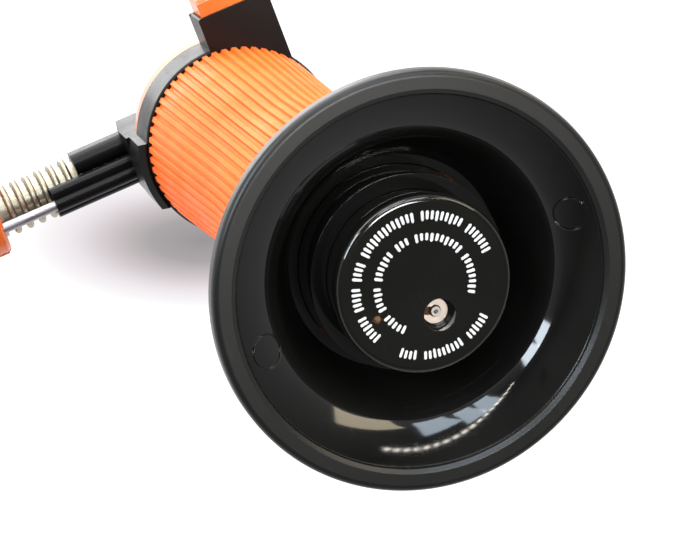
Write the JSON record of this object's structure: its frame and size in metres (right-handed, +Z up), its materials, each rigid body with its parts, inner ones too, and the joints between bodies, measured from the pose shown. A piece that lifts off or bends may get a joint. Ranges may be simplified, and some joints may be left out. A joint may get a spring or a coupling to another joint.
{
  "type": "refillable gas torch",
  "caption": "Hand-held refillable gas torch with a flared foot, ribbed grip, finned side burner, ignition button and gas knob.",
  "frame": {"origin": "centre of the foot, in the plane it stands on", "axes": "+Z up the tank axis, +X the way the burner points, +Y the side with the ignition button"},
  "size_m": [0.13, 0.084, 0.2088],
  "materials": {
    "black_gloss": "gloss",
    "black_satin": "satin",
    "orange_grip": "satin",
    "orange_gloss": "gloss",
    "brass": "satin",
    "nickel": "satin",
    "steel": "satin",
    "rubber": "matte",
    "ceramic": "gloss",
    "clear_plastic": "satin",
    "red_wire": "satin",
    "tank_plastic": "satin"
  },
  "bodies": {
    "torch": {"stand_base": "black_gloss", "tank_cap": "black_gloss", "cap_seal": "rubber", "filler_plate": "brass", "filler_valve_body": "brass", "filler_valve_seal": "rubber", "filler_valve_spring": "steel", "tank_skirt": "black_gloss", "tank_shell": "tank_plastic", "tank_top_plug": "tank_plastic", "plug_seal": "rubber", "dip_tube": "clear_plastic", "grip_sleeve": "orange_grip", "collar_housing": "black_satin", "igniter_cover": "black_satin", "piezo_igniter": "black_satin", "ignition_lead": "red_wire", "head_shell_left": "orange_gloss", "head_shell_right": "orange_gloss", "head_screws": "steel", "valve_body": "brass", "needle_seal": "rubber", "jet_tube": "brass", "gas_jet": "brass", "burner_bracket": "black_satin", "burner_barrel": "nickel", "electrode_tube": "steel", "electrode_insulator": "ceramic", "spark_electrode": "steel", "nozzle_collar": "orange_gloss", "flame_tube": "steel", "flame_holder": "brass"},
    "filler_stem": {"filler_valve_stem": "brass"},
    "ignition": {"ignition_button": "orange_gloss"},
    "gas_control": {"gas_knob": "black_satin", "valve_needle": "steel"}
  },
  "joints": [
    {"name": "filler_press", "type": "slide", "parent": "torch", "child": "filler_stem", "axis": [0, 0, 1], "range_m": [0, 0.0012], "stiffness_N_per_m": 400, "springref_m": -0.0008, "deforming": ["filler_valve_spring"]},
    {"name": "ignition_press", "type": "slide", "parent": "torch", "child": "ignition", "axis": [0, -1, 0], "range_m": [0, 0.004], "stiffness_N_per_m": 1500, "springref_m": -0.002},
    {"name": "gas_turn", "type": "hinge", "parent": "torch", "child": "gas_control", "pos_m": [0, 0, 0.19], "axis": [0, 0, 1], "range_deg": [0, 300]}
  ]
}
